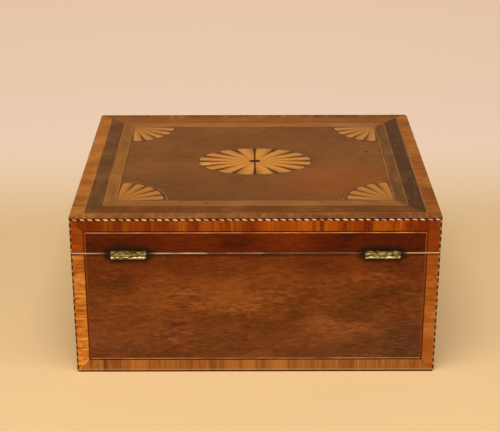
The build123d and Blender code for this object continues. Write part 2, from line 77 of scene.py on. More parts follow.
class Finish:
    """The nodes of one material. Its lengths are millimetres on the Object coordinates."""

    def __init__(self, name, roughness, shine=0.1, metallic=0.0):
        self.material = bpy.data.materials.new(name)
        self.material.use_nodes = True
        self.tree = self.material.node_tree
        self.shader = self.tree.nodes["Principled BSDF"]
        self.shader.inputs["Roughness"].default_value = roughness
        self.shader.inputs["Metallic"].default_value = metallic
        self.shader.inputs["Specular IOR Level"].default_value = shine
        object_place = self.node("ShaderNodeTexCoord").outputs["Object"]
        inputs = {0: object_place, 1: (1 / MM,) * 3}
        self.place = self.node("ShaderNodeVectorMath", inputs, operation="MULTIPLY").outputs[0]
        split = self.node("ShaderNodeSeparateXYZ", {0: self.place})
        self.x, self.y, self.z = (Measure(self, socket) for socket in split.outputs)

    def node(self, kind, inputs=None, **settings):
        made = self.tree.nodes.new(kind)
        for setting, value in settings.items():
            setattr(made, setting, value)
        for key, value in (inputs or {}).items():
            value = value.socket if isinstance(value, Measure) else value
            if isinstance(value, bpy.types.NodeSocket):
                self.tree.links.new(value, made.inputs[key])
            else:
                made.inputs[key].default_value = value
        return made

    def work(self, operation, *values):
        made = self.node("ShaderNodeMath", dict(enumerate(values)), operation=operation)
        return Measure(self, made.outputs[0])

    def noise(self, lengths, detail=2.0, seed=0.0, place=None):
        """Cloudy noise with features of the given lengths along X, Y and Z."""
        stretch = tuple(1 / length for length in lengths)
        inputs = {0: place or self.place, 1: stretch, 2: (seed, 2 * seed, 3 * seed)}
        spot = self.node("ShaderNodeVectorMath", inputs, operation="MULTIPLY_ADD").outputs[0]
        made = self.node("ShaderNodeTexNoise", {"Vector": spot, "Scale": 1.0, "Detail": detail})
        return Measure(self, made.outputs[0])

    def waved(self, waves, depth):
        """The place shifted to and fro, so that straight grain on it runs in waves."""
        stretch = tuple(1 / length for length in waves)
        inputs = {0: self.place, 1: stretch}
        spot = self.node("ShaderNodeVectorMath", inputs, operation="MULTIPLY").outputs[0]
        inputs = {"Vector": spot, "Scale": 1.0, "Detail": 1.0}
        shift = self.node("ShaderNodeTexNoise", inputs).outputs[1]
        inputs = {0: shift, 1: (-0.5,) * 3}
        centred = self.node("ShaderNodeVectorMath", inputs, operation="ADD").outputs[0]
        inputs = {0: centred, 1: depth, 2: self.place}
        return self.node("ShaderNodeVectorMath", inputs, operation="MULTIPLY_ADD").outputs[0]

    def patch(self, across, up, middle, reach, slant=0.0):
        """A soft oval patch: 1 at its middle and 0 past its reach, tilted by its slant."""
        sideways = across - middle[0]
        rising = up - middle[1] - sideways * slant
        sideways, rising = sideways / reach[0], rising / reach[1]
        return (sideways * sideways + rising * rising).rise(1.0, 0.0)

    def ramp(self, measure, *stops):
        """A colour for each value, from (value, tone) stops."""
        made = self.node("ShaderNodeValToRGB", {0: measure})
        while len(made.color_ramp.elements) < len(stops):
            made.color_ramp.elements.new(0.5)
        for element, (position, code) in zip(made.color_ramp.elements, stops):
            element.position, element.color = position, tone(code)
        return made.outputs[0]

    def mix(self, share, first, second):
        """The second colour laid over the first by its share."""
        first, second = (tone(c) if isinstance(c, str) else c for c in (first, second))
        inputs = {0: share, 6: first, 7: second}
        return self.node("ShaderNodeMix", inputs, data_type="RGBA").outputs[2]

    def colour(self, value):
        self.tree.links.new(value, self.shader.inputs["Base Color"])

    def relief(self, height, depth):
        """Shallow relief, depth millimetres deep over the height's whole range."""
        inputs = {"Height": height, "Distance": depth * MM, "Strength": 1.0}
        bump = self.node("ShaderNodeBump", inputs)
        self.tree.links.new(bump.outputs[0], self.shader.inputs["Normal"])

    def lay_on(self, *names):
        """Gives this finish to CAD nodes."""
        for name in names:
            mesh = cad[name].data
            mesh.materials.clear()
            mesh.materials.append(self.material)


def tone(code):
    """A colour written as in a paint chart, such as 7A4A28, made linear as Blender wants it."""
    linear = []
    for start in (0, 2, 4):
        part = int(code[start:start + 2], 16) / 255
        linear.append(((part + 0.055) / 1.055) ** 2.4 if part > 0.04045 else part / 12.92)
    return (*linear, 1.0)


def along(axis, run, across):
    """Feature lengths of grain that runs along one axis."""
    return tuple(run if letter == axis else across for letter in "xyz")


def board_finish(name, axis, light, dark):
    """Sawn and planed wood with its grain along one axis."""
    finish = Finish(name, roughness=0.62)
    waves = finish.waved((90.0, 90.0, 90.0), (3.0, 3.0, 3.0))
    streaks = finish.noise(along(axis, 60.0, 2.2), detail=4.0, place=waves)
    pores = finish.noise(along(axis, 9.0, 0.5), seed=3.0)
    base = finish.ramp(streaks, (0.3, dark), (0.7, light))
    finish.colour(finish.mix(pores.rise(0.58, 0.72) * 0.5, base, dark))
    finish.relief(pores, 0.05)
    return finish


board_light, board_dark = "8A5A34", "5E3719"
board_finish("long_boards", "x", board_light, board_dark).lay_on(
    "base_front_board", "base_back_board", "lid_front_board", "lid_back_board", "lid_top_board")
board_finish("end_boards", "y", board_light, board_dark).lay_on(
    "base_left_board", "base_right_board", "lid_left_board", "lid_right_board")
board_finish("pine_bottom", "x", "A07A4C", "6B4626").lay_on("bottom_board")


# Brads. Small cut nails of iron, driven up through the bottom board into the lower edges of the
# walls. They have rusted dark.
brads = Finish("rusted_iron", roughness=0.7, metallic=0.6)
brads.colour(brads.ramp(brads.noise((1.2, 1.2, 1.2)), (0.35, "2B211C"), (0.7, "5A3A26")))
brads.lay_on("bottom_brads")


# Panel veneers of the base. Sawn mahogany with a lively figure, glued on with its grain along each
# side, under old polish. Along the rim and on the back round the hinges it is darkened with painted
# shade, in the gap under the lid and round the sunk hinges, and with some grime.
polish_roughness = 0.36
# Painted shade with some grime round the hinges on the back.
hinge_shade_and_grime_tone = "1E1406"
# Painted shade, with some dirt, in the gap under the lid's edge.
rim_shade_and_dirt = "3A1404"
base_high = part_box("base_back_veneer")[1].z / MM
hinge_low, hinge_high = (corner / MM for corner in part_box("hinge_base_leaf_right"))
lid_leaf_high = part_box("hinge_lid_leaf_right")[1] / MM
hinge_x = (hinge_low.x + hinge_high.x) / 2
hinge_half = (hinge_high.x - hinge_low.x) / 2
hinge_z = (hinge_low.z + lid_leaf_high.z) / 2
hinge_rise = (lid_leaf_high.z - hinge_low.z) / 2


def hinge_shade_and_grime(finish):
    """How strongly painted shade, with some grime, rings the two hinges on the back where they are
    let in.
    """
    sideways = (abs(abs(finish.x) - hinge_x) - hinge_half).most(0.0)
    upwards = (abs(finish.z - hinge_z) - hinge_rise).most(0.0)
    spread = finish.noise((6.0, 6.0, 4.0), detail=3.0, seed=5.0)
    distance = sideways * 0.6 + upwards - (spread - 0.5) * 4.0
    last_trace, thickest = 6.2, 1.4
    return distance.rise(last_trace, thickest) * finish.y.beyond(0.0)


def mahogany(name, axis, tones, cloud_size, seed, redder="8A3A12", greener="5C3A16", shine=0.1):
    """Figured mahogany: broad clouds, wavy streaks along the grain, small mottle, redder and
    greener patches and short pores. Gives the finish, its figure as a measure round a half, and a
    function that colours a figure."""
    finish = Finish(name, polish_roughness, shine)
    waves = finish.waved((30.0, 30.0, 14.0), along(axis, 0.0, 6.0))
    clouds = finish.noise(cloud_size, detail=1.0, seed=seed + 1.0, place=waves)
    streaks = finish.noise(along(axis, 24.0, 3.4), detail=2.0, seed=seed + 2.0, place=waves)
    mottle = finish.noise(along(axis, 7.0, 2.0), detail=3.0, seed=seed + 3.0, place=waves)
    pores = finish.noise(along(axis, 2.4, 0.35), detail=1.0, seed=seed + 4.0)
    # The three shares add up to 0.74, so 0.13 keeps the figure round a half.
    figure = clouds * 0.26 + streaks * 0.16 + mottle * 0.32 + 0.13
    patches = finish.noise((15.0, 15.0, 10.0), detail=3.0, seed=seed + 5.0)
    finish.relief(pores * -1.0, 0.03)

    def shaded(measure):
        base = finish.ramp(measure, *zip((0.32, 0.5, 0.68), tones))
        base = finish.mix(patches.rise(0.54, 0.7) * 0.26, base, redder)
        base = finish.mix(patches.rise(0.46, 0.3) * 0.26, base, greener)
        return finish.mix(pores.rise(0.56, 0.72) * 0.14, base, tones[0])

    return finish, figure, shaded


# Lights and darks in the back's figure, with painted shading among them that leaves the middle
# lighter and the ends darker as the light falls: middle and reach in mm along X and Z, slant,
# strength.
back_figure_and_shading = (
    ((50.0, 72.0), (62.0, 26.0), 0.0, 0.08),
    ((0.0, 74.0), (44.0, 24.0), -0.1, 0.05),
    ((110.0, 14.0), (60.0, 16.0), 0.0, -0.05),
    ((-80.0, 14.0), (90.0, 18.0), 0.0, -0.07),
    ((40.0, 104.0), (200.0, 18.0), 0.0, -0.06),
    ((-96.0, 88.0), (30.0, 9.0), 0.05, 0.08),
    ((-74.0, 42.0), (40.0, 12.0), 0.12, 0.07),
    ((96.0, 46.0), (26.0, 12.0), 0.0, 0.03),
    ((16.0, 96.0), (60.0, 14.0), 0.0, 0.05),
    ((66.0, 43.0), (10.0, 8.0), 0.0, -0.09),
    ((-36.0, 55.0), (16.0, 7.0), -0.1, -0.1),
    ((-12.0, 44.0), (34.0, 9.0), 0.0, -0.06),
    ((-93.0, 33.0), (16.0, 7.0), 0.2, -0.08),
    ((-106.0, 70.0), (56.0, 15.0), -0.2, -0.07),
    ((118.0, 72.0), (26.0, 16.0), 0.0, 0.07),
    ((-62.0, 30.0), (22.0, 12.0), 0.0, 0.04),
    ((-126.0, 40.0), (26.0, 40.0), 0.0, -0.08),
    ((-128.0, 100.0), (26.0, 14.0), 0.0, -0.12),
    ((-52.0, 100.0), (30.0, 10.0), 0.0, -0.06),
    ((128.0, 92.0), (44.0, 22.0), 0.0, -0.06),
)
# Where the figure breaks into short bright ripples.
back_ripples = (
    ((56.0, 70.0), (34.0, 18.0)), ((-12.0, 72.0), (30.0, 12.0)), ((-98.0, 88.0), (28.0, 8.0)),
    ((-72.0, 42.0), (36.0, 12.0)), ((68.0, 36.0), (30.0, 12.0)), ((14.0, 60.0), (30.0, 12.0)),
)
# Short dark streaks: middle and reach in mm along X and Z, slant.
back_streaks = (
    ((110.0, 62.5), (20.0, 1.0), 0.13), ((20.0, 53.0), (18.0, 0.9), -0.14),
    ((92.0, 49.0), (9.0, 0.8), 0.3), ((-14.0, 66.0), (14.0, 0.8), 0.2),
    ((-58.0, 37.0), (12.0, 0.9), -0.2), ((52.0, 57.0), (10.0, 0.8), -0.2),
)
base_tones = ("48240A", "743C12", "9C5820")
base_clouds = (46.0, 46.0, 26.0)
base_panels = (("back", "x", 0.0), ("front", "x", 7.0), ("left", "y", 13.0), ("right", "y", 19.0))
for side, axis, seed in base_panels:
    panel, figure, shaded = mahogany(f"base_{side}_mahogany", axis, base_tones, base_clouds, seed)
    wander = panel.waved((14.0, 14.0, 10.0), along(axis, 0.0, 5.0))
    ripple = panel.noise(along(axis, 8.0, 1.8), detail=1.5, seed=seed + 6.0, place=wander)
    zone = panel.noise((26.0, 26.0, 16.0), seed=seed + 7.0).rise(0.36, 0.62) * 0.3 + 0.12
    if side == "back":
        # The figure's patches, together with the painted shading of the middle and the ends.
        for middle, reach, slant, strength in back_figure_and_shading:
            figure = figure + panel.patch(panel.x, panel.z, middle, reach, slant) * strength
        for middle, reach in back_ripples:
            zone = zone.most(panel.patch(panel.x, panel.z, middle, reach))
    shade = panel.mix(ripple.rise(0.44, 0.76) * zone * 0.62, shaded(figure), "B46A34")
    shade = panel.mix(ripple.rise(0.48, 0.26) * zone * 0.46, shade, base_tones[0])
    if side == "back":
        streak_place = panel.z + (panel.noise((9.0, 9.0, 9.0), seed=8.0) - 0.5) * 3.0
        for middle, reach, slant in back_streaks:
            streak = panel.patch(panel.x, streak_place, middle, reach, slant)
            shade = panel.mix(streak * 0.5, shade, "3C1C08")
    redder_above = panel.z.rise(72.0, 106.0)
    shade = panel.mix(redder_above * 0.3, shade, "742600")
    low_dust = panel.z.rise(80.0, 10.0) * (0.09 + panel.x.rise(0.0, -120.0) * 0.09)
    shade = panel.mix(low_dust, shade, "6A5646")
    blotches = panel.noise((18.0, 18.0, 18.0), detail=3.0, seed=seed + 9.0)
    # Painted shade, blotched with dirt, along the top of the panel in the gap under the lid's edge.
    under_rim_shade_and_dirt = panel.z.rise(base_high - 2.8, base_high - 0.8) * blotches.rise(0.3, 0.5)
    rim_shaded = panel.mix(under_rim_shade_and_dirt * 0.75, shade, rim_shade_and_dirt)
    # Painted shade, with some grime, round the hinges.
    panel.colour(panel.mix(hinge_shade_and_grime(panel) * 0.85, rim_shaded, hinge_shade_and_grime_tone))
    panel.lay_on(f"base_{side}_veneer")


# Crossbanding of the sides. Strips of a striped orange-brown wood cut across the grain, glued on
# and mitred at the corners. On the uprights the grain runs sideways, on the end strips up and down.
side_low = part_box("base_crossbanding")[0] / MM
top_rope_low, top_rope_high = (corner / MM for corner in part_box("lid_top_ropes"))
rope_size = top_rope_high.z - top_rope_low.z
half_x, half_y = top_rope_high.x, top_rope_high.y


def upright_distance(finish):
    """How far a spot on a side lies from the nearer upright corner."""
    return (half_x - abs(finish.x)).most(half_y - abs(finish.y))


def side_banding(name, end_level, upward, mitre_slope, upright_tones, right_shade_tone, end_tones):
    """The end strip starts at end_level and is upward (1) or downward (-1) of it. Gives the finish,
    the colours of an upright and of the end strip, and how far a spot lies past the mitre."""
    finish = Finish(name, polish_roughness)
    end_distance = (finish.z - end_level) * upward
    past_mitre = upright_distance(finish) - rope_size - end_distance * mitre_slope
    waves = finish.waved((12.0, 12.0, 12.0), (1.4, 1.4, 1.4))
    bars = finish.noise((16.0, 16.0, 2.6), detail=3.0, seed=2.0, place=waves)
    thin_bars = finish.noise((12.0, 12.0, 0.9), detail=2.0, seed=3.0, place=waves)
    flecks = finish.noise((1.7, 1.7, 1.3), detail=3.0, seed=4.0)
    reaches = finish.noise((60.0, 60.0, 17.0), detail=3.0, seed=5.0)
    upright_figure = bars * 0.42 + flecks * 0.14 + reaches * 0.44
    upright = finish.ramp(upright_figure, *zip((0.42, 0.5, 0.58), upright_tones))
    upright = finish.mix(thin_bars.rise(0.56, 0.68) * 0.4, upright, "7E3A0C")
    # Painted shade: the uprights darken towards the right, where the light falls off.
    right_side_shade = finish.x.rise(110.0, -110.0)
    upright = finish.mix(right_side_shade * 0.62, upright, right_shade_tone)
    upwards = finish.z.rise(50.0, 112.0)
    upright = finish.mix(upwards * 0.42, upright, "8A3602")
    low_right = finish.z.rise(64.0, 10.0) * finish.x.rise(60.0, -110.0)
    upright = finish.mix(low_right * 0.4, upright, "944A20")
    stripes = finish.noise((1.5, 1.5, 60.0), detail=3.0, seed=6.0, place=waves)
    lengths = finish.noise((16.0, 16.0, 200.0), detail=3.0, seed=8.0)
    end_figure = stripes * 0.34 + lengths * 0.5 + flecks * 0.16
    end = finish.ramp(end_figure, *zip((0.38, 0.5, 0.62), end_tones))
    dark_lines = finish.noise((1.0, 1.0, 60.0), detail=1.0, seed=9.0, place=waves).rise(0.64, 0.72)
    end = finish.mix(dark_lines * lengths.rise(0.58, 0.44) * 0.6, end, end_tones[0])
    return finish, upright, end, past_mitre


def mitre_joint(past_mitre):
    """The thin joint along a mitre: 1 on it and 0 half a millimetre away."""
    return abs(past_mitre).rise(0.5, 0.2)


def mitred(finish, upright, end, past_mitre):
    """The two runs of a crossbanding with the thin dark joint between them."""
    shade = finish.mix(past_mitre.beyond(0.0), upright, end)
    return finish.mix(mitre_joint(past_mitre) * 0.34, shade, "4A1A06")


# Stripes of the end strips on the back: place along X and half width in mm, share, tone.
base_stripes = (
    (122.0, 8.0, 0.35, "7A401A"), (128.0, 2.4, 0.6, "4C200A"), (100.0, 10.0, 0.4, "C47830"),
    (36.0, 4.0, 0.6, "6E3410"), (29.0, 3.0, 0.3, "7A4418"), (6.0, 7.0, 0.4, "C88A40"),
    (-6.0, 1.6, 0.4, "7A3C14"), (-20.0, 9.0, 0.45, "C88840"), (-28.0, 1.6, 0.5, "7E3C14"),
    (-45.0, 5.0, 0.25, "8A4818"), (-82.0, 4.0, 0.5, "7A4018"), (-118.0, 6.0, 0.4, "7E451C"),
)
lid_stripes = (
    (120.0, 66.0, 0.5, "661E02"), (112.0, 4.0, 0.5, "541802"), (94.0, 5.0, 0.35, "A04A0C"),
    (72.0, 14.0, 0.35, "7A2404"), (40.0, 6.0, 0.5, "B05A10"), (24.0, 5.0, 0.5, "701C02"),
    (10.0, 4.0, 0.3, "7E2A04"), (-24.0, 26.0, 0.5, "B85A06"), (-54.0, 2.4, 0.7, "6A1E02"),
    (-63.0, 6.0, 0.45, "B85E08"), (-73.0, 1.8, 0.6, "6E2404"), (-82.0, 7.0, 0.3, "A44608"),
    (-93.0, 4.0, 0.55, "701C02"), (-112.0, 7.0, 0.3, "A04008"), (-134.0, 14.0, 0.45, "6E2002"),
)


def striped(finish, shade, stripes):
    """Single stripes across the strip, on the back only."""
    on_back = finish.y.beyond(0.0)
    for middle, half, share, stripe_tone in stripes:
        stripe = abs(finish.x - middle).rise(half, half * 0.45)
        shade = finish.mix(stripe * on_back * share, shade, stripe_tone)
    return shade


banding, upright, end, past_mitre = side_banding(
    "base_crossbanding_wood", side_low.z, upward=1.0, mitre_slope=0.8,
    upright_tones=("AE5C16", "DC8A30", "FAB056"), right_shade_tone="984C14",
    end_tones=("87491A", "A4642B", "C6863C"))
shade = mitred(banding, upright, striped(banding, end, base_stripes), past_mitre)
# Painted highlight on the rounded, worn bottom arris, where its upper part faces the light.
worn_arris_highlight = banding.z.rise(3.3, 2.6) * banding.z.rise(1.4, 2.0)
shade = banding.mix(worn_arris_highlight * 0.34, shade, "DEA878")
# Painted shade along the foot, where the rounded arris turns down and meets the floor, with some
# grime.
foot_shade_and_grime = banding.z.rise(1.7, 1.1)
shade = banding.mix(foot_shade_and_grime, shade, "1A0A03")
# Painted shade, with some dirt, along the top of the banding in the gap under the lid's edge.
rim_shade_and_dirt_share = banding.z.rise(base_high - 1.6, base_high - 0.5)
banding.colour(banding.mix(rim_shade_and_dirt_share * 0.7, shade, rim_shade_and_dirt))
banding.lay_on("base_crossbanding")

banding, upright, end, past_mitre = side_banding(
    "lid_crossbanding_wood", top_rope_low.z, upward=-1.0, mitre_slope=1.02,
    upright_tones=("924204", "AE560C", "C66E18"), right_shade_tone="702802",
    end_tones=("6C2602", "943E02", "BE6808"))
banding.colour(mitred(banding, upright, striped(banding, end, lid_stripes), past_mitre))
banding.lay_on("lid_crossbanding")


# Stringing. Thin lines of black-stained wood and of boxwood, let in beside the banding with a
# cutting gauge; on the lid they also run round the top. The polish on the top has gone dull, so
# what lies there shines less than the sides do.
line_shine, top_shine = 0.05, 0.018
ebony = Finish("black_stained_line", roughness=0.4, shine=line_shine)
line = ebony.ramp(ebony.noise((14.0, 14.0, 14.0), detail=3.0), (0.35, "2A0E04"), (0.65, "521E08"))
below_the_rope = ebony.z.rise(top_rope_low.z, top_rope_low.z - 8.0)
up_the_corner = upright_distance(ebony).rise(12.6, 12.2) * below_the_rope
ebony.colour(ebony.mix(up_the_corner * 0.7, line, "642A0A"))
ebony.lay_on("base_ebony_lines", "lid_ebony_lines", "oval_heart")


def side_boxwood(name, dark, light, upright, flat):
    """The lines up the corners and those on the top have gone browner than the others."""
    finish = Finish(name, roughness=0.38, shine=line_shine)
    line = finish.ramp(finish.noise((16.0, 16.0, 16.0), detail=4.0), (0.35, dark), (0.65, light))
    up_the_corner = upright_distance(finish).rise(13.3, 12.9)
    line = finish.mix(up_the_corner * 0.9, line, upright)
    on_top = finish.z.beyond(top_rope_high.z)
    kept_light = finish.noise((40.0, 40.0, 40.0), seed=3.0).rise(0.5, 0.62) * 0.35
    finish.colour(finish.mix(on_top * (1.0 - kept_light), line, flat))
    return finish


side_boxwood("base_boxwood", "9C6236", "CC925E", "7C3E18", "7C3E18").lay_on("base_boxwood_lines")
side_boxwood("lid_boxwood", "A4683C", "D8A070", "904A20", "8C5E34").lay_on("lid_boxwood_lines")
inlay_boxwood = Finish("inlay_boxwood", roughness=0.38, shine=top_shine)
clouds = inlay_boxwood.noise((16.0, 16.0, 16.0), detail=4.0)
inlay_boxwood.colour(inlay_boxwood.ramp(clouds, (0.35, "7A4E2C"), (0.65, "A07044")))
inlay_boxwood.lay_on("inlay_borders")


# Rope stringing. Light and dark slips of wood glued slantwise into a rod, sawn into square strips
# and let into the arrises. Along the top a strip shows light lens-shaped dashes; down the corners,
# dark ones.
rope_pitch = 6.3
rope_light, rope_dark = "FCD4AE", "3A1004"

top_rope = Finish("top_rope", polish_roughness)
on_long_side = abs(top_rope.y).beyond(half_y - rope_size / 2)
lengthwise = top_rope.x * on_long_side + top_rope.y * (1.0 - on_long_side)
wander = top_rope.noise((9.0, 9.0, 9.0), seed=11.0) * 1.2
step = ((lengthwise + wander) / rope_pitch).fraction() - 0.5
# A dash in shares of the strip's height: its slant, its half height and how fast it narrows.
dash_slant, dash_half, dash_taper = 0.6, 0.44, 2.9
middle_z = (top_rope_low.z + top_rope_high.z) / 2
lift = (top_rope.z - middle_z) / rope_size - 0.06 - step * dash_slant
bulge = dash_half - step * step * dash_taper
dash = (bulge - abs(lift)).rise(-0.03, 0.06)
wear = top_rope.noise((5.0, 5.0, 5.0), detail=3.0, seed=12.0)
dark_slips = top_rope.ramp(wear, (0.4, rope_dark), (0.65, "5A1E0A"))
light_slips = top_rope.ramp(wear, (0.34, "C08058"), (0.55, rope_light))
top_rope.colour(top_rope.mix(dash, dark_slips, light_slips))
top_rope.lay_on("lid_top_ropes")

corner_rope = Finish("corner_rope", polish_roughness)
inward = upright_distance(corner_rope)
wander = corner_rope.noise((9.0, 9.0, 9.0), seed=13.0) * 1.2
slip_slant, slip_half = 1.6, 0.33
step = ((corner_rope.z + wander - inward * slip_slant) / rope_pitch).fraction() - 0.5
slip = (slip_half - abs(step)).rise(-0.05, 0.05) * inward.rise(1.8, 1.6)
wear = corner_rope.noise((5.0, 5.0, 5.0), detail=3.0, seed=14.0)
light_slips = corner_rope.ramp(wear, (0.35, "A4601E"), (0.65, "CA8638"))
light_slips = corner_rope.mix(corner_rope.x.rise(20.0, -20.0) * 0.6, light_slips, "DCAC74")
corner_rope.colour(corner_rope.mix(slip, light_slips, "260A02"))
corner_rope.lay_on("base_corner_ropes", "lid_corner_ropes")


# Lid edging. A square boxwood strip glued into the lower arris of the lid, rubbed bright at the
# ends and greasy towards the hinges from the hands that lift it.
edging = Finish("boxwood_edging", roughness=0.42)
wear = edging.noise((22.0, 22.0, 6.0), detail=4.0, seed=2.0)
rubbed = edging.ramp(wear, (0.36, "9A6848"), (0.5, "C2926E"), (0.64, "E4B896"))
outer_end = abs(edging.x).rise(hinge_x + hinge_half, half_x - 14.0)
rubbed = edging.mix(outer_end * 0.7, rubbed, "DCA882")
handled = edging.patch(edging.x, edging.y, (-42.0, half_y), (44.0, 30.0))
handled = handled.most(edging.patch(edging.x, edging.y, (32.0, half_y), (10.0, 30.0)))
rubbed = edging.mix(handled.rise(0.0, 0.6) * 0.75, rubbed, "62452E")
# Painted shade, with some grime, round the hinges.
edging.colour(edging.mix(hinge_shade_and_grime(edging) * 0.9, rubbed, hinge_shade_and_grime_tone))
edging.lay_on("lid_rim_edging")


# Panel veneers of the lid's sides. The same mahogany from a redder, darker leaf, glued to the lid's
# boards, with grime round the hinges as on the base.
lid_figure = (
    ((-24.0, 122.0), (30.0, 16.0), 0.0, 0.09),
    ((58.0, 122.0), (30.0, 16.0), 0.0, 0.04),
    ((112.0, 122.0), (50.0, 24.0), 0.0, -0.05),
    ((-112.0, 122.0), (70.0, 24.0), 0.0, -0.13),
    ((17.0, 122.0), (14.0, 16.0), 0.0, -0.06),
)
lid_tones = ("3C1000", "602000", "803402")
lid_clouds = (48.0, 48.0, 18.0)
lid_panels = (("back", "x", 31.0), ("front", "x", 37.0), ("left", "y", 43.0), ("right", "y", 49.0))
for side, axis, seed in lid_panels:
    panel, figure, shaded = mahogany(
        f"lid_{side}_mahogany", axis, lid_tones, lid_clouds, seed,
        redder="701C02", greener="482406")
    if side == "back":
        for middle, reach, slant, strength in lid_figure:
            figure = figure + panel.patch(panel.x, panel.z, middle, reach, slant) * strength
    # Painted shade, with some grime, round the hinges.
    panel.colour(panel.mix(hinge_shade_and_grime(panel) * 0.85, shaded(figure), hinge_shade_and_grime_tone))
    panel.lay_on(f"lid_{side}_veneer")


# Bands of the top. From the edge inwards: orange crossbanding with its grain across the strip, dark
# rosewood and a lighter wood with the grain along it, each of four strips glued on and mitred.
box_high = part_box("top_outer_banding")[1].z / MM


def top_band(node, end_width, side_width, across_grain, tones, streak, figure):
    """The tones are those of the left, right, far and near strip as seen from the hinge side;
    streak is how broad the grain's streaks are, and figure how strongly they show."""
    finish = Finish(node + "_wood", polish_roughness, top_shine)
    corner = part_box(node)[1] / MM
    from_end, from_side = corner.x - abs(finish.x), corner.y - abs(finish.y)
    past_mitre = from_side * (end_width / side_width) - from_end
    on_end = past_mitre.beyond(0.0)
    left, right, far, near = tones
    end = finish.mix(finish.x.beyond(0.0), right, left)
    long = finish.mix(finish.y.beyond(0.0), far, near)
    base = finish.mix(on_end, long, end)
    waves = finish.waved((24.0, 24.0, 24.0), (1.5, 1.5, 0.0))
    x_grain = finish.noise((34.0, streak, 34.0), detail=3.0, seed=21.0, place=waves)
    y_grain = finish.noise((streak, 34.0, 34.0), detail=3.0, seed=23.0, place=waves)
    end_grain, long_grain = (x_grain, y_grain) if across_grain else (y_grain, x_grain)
    grain = end_grain * on_end + long_grain * (1.0 - on_end)
    flecks = finish.noise((2.2, 2.2, 2.2), detail=3.0, seed=24.0)
    clouds = finish.noise((22.0, 22.0, 22.0), detail=3.0, seed=25.0)
    measure = grain * 0.34 + flecks * 0.22 + clouds * 0.44
    near_ends = on_end * finish.y.rise(0.0, 125.0)
    # Painted shade: the bands darken towards the right, where the light falls off.
    top_right_shade = finish.x.rise(-60.0, -150.0) * finish.y.rise(-60.0, 110.0)
    # A dark tone: dirt in the mitres, the darker near ends, and painted shade to the right.
    dirt_and_shade = "2C1408"
    base = finish.mix(near_ends * 0.16 + top_right_shade * 0.12, base, dirt_and_shade)
    shade = finish.mix(measure.rise(0.52, 0.34) * figure, base, "4A220C")
    shade = finish.mix(measure.rise(0.48, 0.66) * figure * 0.7, shade, "CA8C42")
    shade = finish.mix(mitre_joint(past_mitre) * 0.4, shade, dirt_and_shade)
    finish.relief(flecks, 0.02)
    return finish, shade


# Old knocks on the outer band, as places along Y on the end strips.
left_knocks, right_knocks = (29.0, 48.0, 72.0), (-68.0, -16.0, 13.0, 20.0, 44.0)
outer, shade = top_band(
    "top_outer_banding", end_width=11.3, side_width=9.6, across_grain=True,
    tones=("A46024", "9C5C22", "764A1E", "865024"), streak=3.0, figure=0.56)
ragged = outer.y + (outer.noise((3.0, 6.0, 3.0), detail=3.0, seed=26.0) - 0.5) * 3.0
for end_x, places in ((half_x - 6.0, left_knocks), (-half_x + 6.0, right_knocks)):
    for place in places:
        knock = outer.patch(outer.x, ragged, (end_x, place), (6.5, 1.3))
        shade = outer.mix(knock * 0.45, shade, "4A2008")
# Painted shade: the near strip darkens towards the right, where the light falls off.
near_strip_right_shade = outer.y.rise(half_y - 10.0, half_y - 8.0) * outer.x.rise(-20.0, -110.0)
shade = outer.mix(near_strip_right_shade * 0.34, shade, "4A1E08")
# Painted shade, with some dirt, on the veneer's edge below the top surface, whose rounded arris
# faces away from the light.
veneer_edge_shade = outer.z.rise(box_high - 0.25, box_high - 0.5)
outer.colour(outer.mix(veneer_edge_shade, shade, "300E04"))
outer.lay_on("top_outer_banding")
rosewood, shade = top_band(
    "top_rosewood_banding", end_width=13.2, side_width=14.9, across_grain=False,
    tones=("623E1E", "52341E", "8C5022", "6A3C18"), streak=3.4, figure=0.24)
rosewood.colour(shade)
rosewood.lay_on("top_rosewood_banding")
inner, shade = top_band(
    "top_inner_banding", end_width=9.2, side_width=9.2, across_grain=False,
    tones=("8E5A28", "704824", "9C622C", "8C5828"), streak=3.4, figure=0.3)
for middle in ((41.0, 96.0), (-55.0, 95.0)):
    crack = inner.patch(inner.x, inner.y, middle, (3.6, 1.0), -0.5)
    shade = inner.mix(crack * 0.8, shade, "3A1C08")
inner.colour(shade)
inner.lay_on("top_inner_banding")


# Field of the top and grounds of the inlay. Plain straight-grained mahogany faded by daylight, with
# a knot and old dents; the oval and the fans are laid on grounds of a darker leaf.
field, figure, shaded = mahogany(
    "field_mahogany", "x", ("603614", "784A22", "8E5828"), (60.0, 46.0, 46.0), seed=61.0,
    redder="905026", greener="63401E", shine=top_shine)
red_patch = field.patch(field.x, field.y, (-70.0, 46.0), (66.0, 56.0))
shade = field.mix(red_patch * 0.4, shaded(figure), "98501E")
near_left = field.y.rise(0.0, 100.0) * field.x.rise(-90.0, 30.0)
shade = field.mix(near_left * 0.45, shade, "5A361C")
knot = field.patch(field.x, field.y, (-103.0, -24.0), (2.6, 2.2))
shade = field.mix(knot.rise(0.0, 0.9) * 0.75, shade, "381006")
for middle in ((-121.0, -85.0), (-119.0, -64.0)):
    scratch = field.patch(field.x, field.y, middle, (3.6, 1.2), 0.3)
    shade = field.mix(scratch * 0.7, shade, "3A1C0C")
field.colour(shade)
field.lay_on("top_field_veneer")
ground, figure, shaded = mahogany(
    "ground_mahogany", "x", ("4A2810", "6A4020", "805028"), (30.0, 30.0, 30.0), seed=67.0,
    redder="7A4420", greener="583A1C", shine=top_shine)
ground.colour(shaded(figure))
ground.lay_on("oval_ground", "fan_grounds")


# Oval and quarter fans. Each petal is a slip of satinwood whose edge was dipped in hot sand, which
# shades it brown along the joint, and the slips are set round a dark heart.
oval_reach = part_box("oval_petals")[1] / MM
fan_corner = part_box("fan_petals")[1] / MM
oval_petal_count = 16.0
fan_petal_count = 5.0
fan_radius = 39.0


